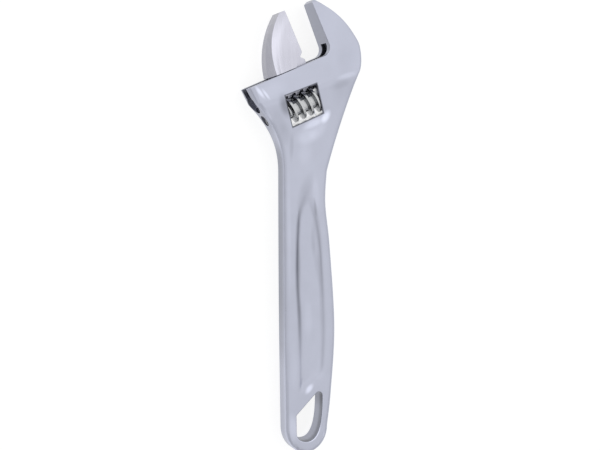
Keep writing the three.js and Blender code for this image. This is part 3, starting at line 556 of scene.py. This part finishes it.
def crisp_copy(node, depth, soft_rounds, blend=None):
    """A node's shape in small even faces, with its edges kept and only just broken.

    It is laid along the head's axes while it is meshed, so that the ground faces stay straight.
    A blend says how far each point of a broad face is smoothed into its neighbours.
    """
    bm = bmesh.new()
    bm.from_mesh(frame["nodes"][node].data)
    bmesh.ops.remove_doubles(bm, verts=bm.verts, dist=WELD)
    turn = Matrix.Rotation(-HEAD_ANGLE, 3, "Z")
    bmesh.ops.rotate(bm, cent=WORM_CENTRE, matrix=turn, verts=bm.verts)
    bm = remade(
        bm, "REMESH", mode="SHARP", octree_depth=depth, scale=MESH_SCALE,
        use_remove_disconnected=False,
    )
    bmesh.ops.rotate(bm, cent=WORM_CENTRE, matrix=turn.transposed(), verts=bm.verts)
    bm.normal_update()
    group = bm.verts.layers.deform.verify()
    edges = [edge for edge in bm.edges if edge.is_manifold and edge.calc_face_angle() > EDGE_ANGLE]
    sharp = {point for edge in edges for point in edge.verts}
    soft = [point for point in bm.verts if point not in sharp]
    smooth(bm, soft, soft_rounds)
    if blend:
        for point in bm.verts:
            point[group][0] = blend(point)
        bm = remade(bm, "SMOOTH", factor=0.5, iterations=BLEND_ROUNDS, vertex_group="blend")
    smooth(bm, bm.verts, 1, EDGE_BREAK)
    return bm


def smooth(bm, verts, rounds, factor=0.5):
    """Moves each point part of the way to the middle of its neighbours, again and again."""
    for _ in range(rounds):
        bmesh.ops.smooth_vert(
            bm, verts=verts, factor=factor, use_axis_x=True, use_axis_y=True, use_axis_z=True,
        )


def remade(bm, kind, **settings):
    """The shape after one modifier, with a group for the blend's weights."""
    mesh = bpy.data.meshes.new("rough")
    bm.to_mesh(mesh)
    bm.free()
    piece = bpy.data.objects.new("rough", mesh)
    piece.vertex_groups.new(name="blend")
    bpy.context.scene.collection.objects.link(piece)
    modifier = piece.modifiers.new("remake", kind)
    for name, value in settings.items():
        setattr(modifier, name, value)
    bpy.context.view_layer.update()
    depsgraph = bpy.context.evaluated_depsgraph_get()
    made = bpy.data.meshes.new_from_object(piece.evaluated_get(depsgraph))
    bpy.data.objects.remove(piece)
    bm = bmesh.new()
    bm.from_mesh(made)
    return bm


def thinned(bm):
    """The shape with no more triangles than the limit: fewer on its flats, all on its edges."""
    count = sum(len(face.verts) - 2 for face in bm.faces)
    if count <= FACE_LIMIT:
        return bm
    return remade(bm, "DECIMATE", ratio=FACE_LIMIT / count, use_collapse_triangulate=True)


# ---------------------------------------------------------------- how light and how worn

SHORTEST_SQUARED = 1e-12
CURVE_ROUNDS = 2

# Fades on how far a skin's face turns from level, and on how far it faces the left of the head
FLANK_FADE = (0.75, 0.25)
GRIP_FADE = (0.6, 0.95)
JAW_BACK_FADE = (0.4, 0.6)
WORM_LEFT_FADE = (0.25, 0.6)

# Fades on the curvature of an edge or a hollow, in 1 / mm
WEAR_AND_HIGHLIGHT_FADE = (0.15, 0.9)
SUNK_FADE = (0.02, 0.2)
GLINT_FADE = (0.03, 0.2)
JAW_EDGE_FADE = (0.3, 1.5)

# Fades on the place, in mm: the end of the panel's hollows, the glint on the hole's lower right
# rim, and the worm's crest by its distance from the axis
SUNK_END_FADE = (-75, -50)
GLINT_PLACE_FADES = ((-104, -112), (-2, 3))
CREST_FADE = (5.6, 7.6)

# Round the window no edge gets wear and painted highlight, because the metal paints the shade of
# its rim there: its reach in u and in w, in mm
WINDOW_U = (-11.5, 11.3)
WINDOW_W = (-9.6, 9.8)

# How much of the forging's tone each place keeps, gains as painted highlight or loses as painted
# shade, and the least and most of it
SHARE_RANGE = (0.1, 1.5)
DEEP_PAINTED_SHADE_SHARE = 0.32
WEAR_AND_HIGHLIGHT_GAIN = 0.2
HOLLOW_PAINTED_SHADE = 0.08
GRIP_PAINTED_SHADE = 0.08
GLINT_GAIN = 0.5
HOLE_REACH = 1.12

# The tones of the sliding jaw, its toothed bar and the worm, with painted shade on the jaw's sides,
# back and bar and on the worm's left flanks, and painted highlight on the jaw's edges
JAW_TONE_RANGE = (0.04, 0.95)
JAW_TONE = 0.70
JAW_SIDE_PAINTED_SHADE = 0.30
BAR_TONE = 0.6
JAW_EDGE_PAINTED_HIGHLIGHT = 0.1
JAW_WEAR = 0.3
WORM_TONE = 0.62
CREST_LOSS = 0.02
LEFT_FLANK_PAINTED_SHADE = 0.22


class Skin:
    """A mesh's faces, in the head's axes and in the wrench's, with their normals and curvature."""

    def __init__(self, mesh):
        self.mesh = mesh
        self.normal = read(mesh.polygons, "normal", 3)
        place = read(mesh.polygons, "center", 3)
        turn = np.array(Matrix.Rotation(HEAD_ANGLE, 3, "Z"))
        self.u, self.w, self.h = ((place - np.array(WORM_CENTRE)) @ turn / MM).T
        self.x, self.y, _ = ((place - np.array(CENTRE)) / MM).T
        self.facing_left = -(self.normal @ turn)[:, 0]
        self.flank = step(np.abs(self.normal[:, 2]), *FLANK_FADE)

    def point_bulge(self):
        """Curvature at each point, in 1 / mm: above 0 on an outer edge and below 0 in a hollow."""
        place = read(self.mesh.vertices, "co", 3)
        normal = read(self.mesh.vertex_normals, "vector", 3)
        first, second = read(self.mesh.edges, "vertices", 2, int).T
        count = len(place)
        degree = np.bincount(first, minlength=count) + np.bincount(second, minlength=count)
        degree = np.maximum(degree, 1)

        def gather(values):
            """The mean, at each point, of a value that every edge has."""
            return (np.bincount(first, values, count) + np.bincount(second, values, count)) / degree

        run = place[first] - place[second]
        turn = ((normal[first] - normal[second]) * run).sum(1)
        curve = gather(turn / np.maximum((run ** 2).sum(1), SHORTEST_SQUARED)) * MM
        for _ in range(CURVE_ROUNDS):
            curve = 0.5 * curve + 0.5 * gather((curve[first] + curve[second]) / 2)
        return curve

    def bulge(self):
        """Curvature of each face, taken at its flattest corner so that a wide face stays plain."""
        corners = self.point_bulge()[read(self.mesh.loops, "vertex_index", 1, int).ravel()]
        starts = read(self.mesh.polygons, "loop_start", 1, int).ravel()
        least = np.minimum.reduceat(corners, starts)
        most = np.maximum.reduceat(corners, starts)
        return np.clip(least, 0, None) + np.clip(most, None, 0)


def read(items, name, width, kind=float):
    """One property of all the items of a mesh, a row for each."""
    values = np.empty(len(items) * width, kind)
    items.foreach_get(name, values)
    return values.reshape(-1, width)


def step(value, start, end):
    """0 at the start, 1 at the end and smooth between them, whichever of the two is higher."""
    share = np.clip((value - start) / (end - start), 0, 1)
    return share * share * (3 - 2 * share)


def mark(mesh, tone, wear):
    """Gives each face its tone and wear, which the metals read."""
    for name, share in (("tone", tone), ("wear", wear)):
        attribute = mesh.attributes.new(name, "FLOAT", "FACE")
        attribute.data.foreach_set("value", share.astype(np.float32))


def from_hole(x, y):
    """How far a place lies from the middle of the hanging hole, where 1 is the hole's edge."""
    return np.hypot((x - HOLE_MIDDLE[0]) / HOLE_HALF[0], (y - HOLE_MIDDLE[1]) / HOLE_HALF[1])


def body_finish(skin):
    """Tone share and wear: painted shade on the grip, hollows and slots, worn and painted-highlit
    edges.
    """
    x, y = skin.x, skin.y
    u, w, h = skin.u, skin.w, skin.h
    bulge = skin.bulge()
    in_window = (u > WINDOW_U[0]) & (u < WINDOW_U[1]) & (w > WINDOW_W[0]) & (w < WINDOW_W[1])
    in_hole = from_hole(x, y) < HOLE_REACH
    # Edges are worn, and lighter with a painted highlight, except round the window
    wear_and_edge_highlight = step(bulge, *WEAR_AND_HIGHLIGHT_FADE) * (1 - 0.5 * skin.flank) * (1 - in_window)
    # Painted shade in the hollows, away from the hole and the handle's end
    sunk = step(-bulge, *SUNK_FADE) * (1 - in_hole) * step(y, *SUNK_END_FADE)
    # Painted shade on the fixed jaw's grip face, which faces the head's left
    on_jaw = (u > FIXED_JAW_U - JAW_FACE_REACH) & (w > SHOULDER_W - SHOULDER_MARGIN)
    grip = step(skin.facing_left, *GRIP_FADE) * on_jaw
    share = (1 + WEAR_AND_HIGHLIGHT_GAIN * wear_and_edge_highlight - HOLLOW_PAINTED_SHADE * sunk) * (1 - GRIP_PAINTED_SHADE * grip)
    glint = GLINT_GAIN * in_hole * step(bulge, *GLINT_FADE)
    share += glint * step(x + y, *GLINT_PLACE_FADES[0]) * step(x, *GLINT_PLACE_FADES[1])

    # Painted shade deep in the keyhole bore, its slot and the pin's hole
    before_end = u < SLOT_RIGHT_U
    in_bore = (np.hypot(w - SLOT_AXIS_W, h) < SLOT_RADIUS) & before_end
    in_slot = (np.abs(h) < SLOT_HALF_WIDTH) & (w > SLOT_AXIS_W) & (w < SLOT_TOP_W) & before_end
    in_pin_hole = (np.hypot(w, h) < PIN_HOLE_RADIUS) & (u < PIN_HOLE_END_U)
    share *= np.where(in_bore | in_slot | in_pin_hole, DEEP_PAINTED_SHADE_SHARE, 1)
    return np.clip(share, *SHARE_RANGE), np.clip(wear_and_edge_highlight, 0, 1)


def jaw_finish(skin):
    """Tone and wear of the sliding jaw: pale ground faces, painted shade on back, sides and bar."""
    flank = np.maximum(skin.flank, step(skin.facing_left, *JAW_BACK_FADE))
    bar = skin.w < SHOULDER_W - SHOULDER_MARGIN
    # The toothed bar's darker plain tone is painted shade, and so is the darker tone of the sides
    # and back
    tone = np.where(bar, BAR_TONE, JAW_TONE - JAW_SIDE_PAINTED_SHADE * flank)
    # Painted highlight on the jaw's edges
    tone += JAW_EDGE_PAINTED_HIGHLIGHT * step(skin.bulge(), *JAW_EDGE_FADE) * (1 - bar)
    return np.clip(tone, *JAW_TONE_RANGE), np.full(len(tone), JAW_WEAR)


def worm_finish(skin):
    """Tone and wear of the worm: worn crests, and painted shade on the flanks facing its left."""
    crest = step(np.hypot(skin.w, skin.h), *CREST_FADE)
    left = step(skin.facing_left, *WORM_LEFT_FADE)
    return WORM_TONE - CREST_LOSS * crest - LEFT_FLANK_PAINTED_SHADE * left, crest


def finish_piece(bm, name, body, node, material, finish):
    """Makes a shape an object that rides on its body and stands for its CAD node."""
    bm = thinned(bm)
    for face in bm.faces:
        face.smooth = True
    mesh = bpy.data.meshes.new(name)
    bm.to_mesh(mesh)
    bm.free()
    mark(mesh, *finish(Skin(mesh)))
    mesh.materials.append(material)
    piece = bpy.data.objects.new(name, mesh)
    bpy.context.scene.collection.objects.link(piece)
    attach(piece, body)
    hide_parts(node)


def head_place(point):
    """A point's u, w and h in the head's axes, in mm from the worm's middle."""
    place = point.co - WORM_CENTRE
    return place.dot(HEAD_U) / MM, place.dot(HEAD_W) / MM, place.z / MM


def below_crease(place):
    """How far a point lies below the crease that runs across the head, in metres."""
    return CREASE_ACROSS * place.x - CREASE_ALONG * (place.y - CREASE_Y)


def forged_blend(point):
    """How far a point of the forging is smoothed.

    The broad faces below the crease flow together, and the hole's rim and corner are eased.
    """
    x, y = (point.co.x - CENTRE.x) / MM, (point.co.y - CENTRE.y) / MM
    if y < HOLE_REGION_Y:
        corner = math.hypot(x - HOLE_CORNER[0], y - HOLE_CORNER[1])
        rim = RIM_EASE * step(from_hole(x, y), *HOLE_FADE)
        return float(max(rim, CORNER_EASE * step(corner, *CORNER_FADE)))
    if abs(point.normal.z) < BROAD_FADE[0]:
        return 0.0
    u, w, _ = head_place(point)
    past = max(past_window_side(u, w), abs(w) - WINDOW_HALF[1])
    broad = step(abs(point.normal.z), *BROAD_FADE) * step(past, *PAST_WINDOW_FADE)
    return float(broad * step(below_crease(point.co - CENTRE), *BELOW_CREASE_FADE))


def shape_window(bm):
    """Raises the window's sill, and hangs the lip of its upper wall a little over the worm."""
    for point in bm.verts:
        u, w, h = head_place(point)
        rise = SILL_RISE * step(w, *SILL_FADES[0]) * step(w, *SILL_FADES[1])
        drop = (LIP_DROP + LIP_SLOPE * u) * step(w, *LIP_FADES[0]) * step(w, *LIP_FADES[1])
        drop = drop * step(abs(h), *LIP_HEIGHT_FADE)
        beside = step(past_window_side(u, w), *WINDOW_SIDE_FADE)
        point.co += HEAD_W * (float((rise - drop) * beside) * MM)


def make_body():
    """The forged handle, head and fixed jaw."""
    depth = BODY_DEPTH
    bm = crisp_copy("wrench_body", depth, soft_rounds=2, blend=forged_blend)
    shape_window(bm)
    finish_piece(
        bm, "forged_body", "wrench", "wrench_body", SATIN_CHROME, body_finish,
    )


def lean_back(bm):
    """Leans the upper half of the jaw's back inwards, most of all at its foot."""
    for point in bm.verts:
        u, w, h = head_place(point)
        if h < 0 or w < BACK_START_W:
            continue
        back = BACK_CENTRE[0] - math.sqrt(max(BACK_RADIUS ** 2 - (w - BACK_CENTRE[1]) ** 2, 0))
        lean = BACK_LEAN * float(step(w, *BACK_FOOT_FADE)) * min(h / BACK_FULL_HEIGHT, 1)
        point.co += HEAD_U * (lean * float(step(u - back, *BACK_DEPTH_FADE)) * MM)


def make_jaw():
    """The sliding jaw with its web and toothed bar."""
    bm = crisp_copy("sliding_jaw", JAW_DEPTH, soft_rounds=1)
    lean_back(bm)
    finish_piece(bm, "ground_jaw", "jaw", "sliding_jaw", JAW_CHROME, jaw_finish)


def make_worm():
    """The worm that the thumb turns."""
    bm = crisp_copy("adjusting_worm", WORM_DEPTH, soft_rounds=2)
    finish_piece(
        bm, "thumb_worm", "worm", "adjusting_worm", WORM_CHROME, worm_finish,
    )


def dress_node(node, material):
    """A CAD node that keeps its own mesh and gets its finish."""
    piece = frame["nodes"][node]
    piece.data.materials.clear()
    piece.data.materials.append(material)


# ---------------------------------------------------------------- floor and light

SKY_PEAK = Vector((0.3, 0.3, 0.9)).normalized()
SKY_SPREAD = math.radians(75)
SKY_LEVEL = 0.63
SKY_PEAK_GAIN = 0.36
FLOOR_HALF_SIZE = 20

# What lights the wrench from the floor, and the near white that the camera and the metal see
FLOOR_COLOUR = (0.75, 0.75, 0.76, 1)
FLOOR_SHOWN_COLOUR = (0.3, 0.3, 0.3, 1)
FLOOR_SHOWN_GLOW = 0.8


def make_floor():
    """A pale floor that shows white and keeps the wrench's shadow."""
    material, shade = new_material("floor")
    seen = shade.node("LightPath", {}, output="Is Camera Ray")
    seen = seen.math("MAXIMUM", seen, shade.node("LightPath", {}, output="Is Glossy Ray"))
    paper = shade.node("BsdfDiffuse", {"Color": FLOOR_COLOUR})
    shown_paper = shade.node("BsdfDiffuse", {"Color": FLOOR_SHOWN_COLOUR})
    shown_glow = shade.node("Emission", {"Color": (1, 1, 1, 1), "Strength": FLOOR_SHOWN_GLOW})
    shown = shade.node("AddShader", {0: shown_paper, 1: shown_glow})
    surface = shade.node("MixShader", {0: seen, 1: paper, 2: shown})
    shade.node("OutputMaterial", {"Surface": surface})
    bm = bmesh.new()
    bmesh.ops.create_grid(bm, x_segments=1, y_segments=1, size=FLOOR_HALF_SIZE)
    mesh = bpy.data.meshes.new("floor")
    bm.to_mesh(mesh)
    bm.free()
    mesh.materials.append(material)
    floor = bpy.data.objects.new("floor", mesh)
    bpy.context.scene.collection.objects.link(floor)


def make_sky():
    """A soft room, brightest overhead, that falls off evenly to the walls."""
    world = bpy.data.worlds.new("studio")
    bpy.context.scene.world = world
    world.use_nodes = True
    world.node_tree.nodes.clear()
    shade = Shade(world.node_tree)
    direction = shade.node("TexCoord", {}, output="Generated")
    towards = shade.node(
        "VectorMath", {0: direction, 1: SKY_PEAK}, operation="DOT_PRODUCT", output=1,
    )
    level = SKY_LEVEL + SKY_PEAK_GAIN * ramp(shade, towards, math.cos(SKY_SPREAD), 1.0)
    background = shade.node("Background", {"Color": (1, 1, 1, 1), "Strength": level})
    shade.node("OutputWorld", {"Surface": background})


# ---------------------------------------------------------------- the scene

make_camera()
make_floor()
make_sky()
make_body()
make_jaw()
make_worm()
dress_node("worm_pin", STEEL)
dress_node("worm_spring", STEEL)
bpy.context.scene.view_settings.view_transform = "Standard"
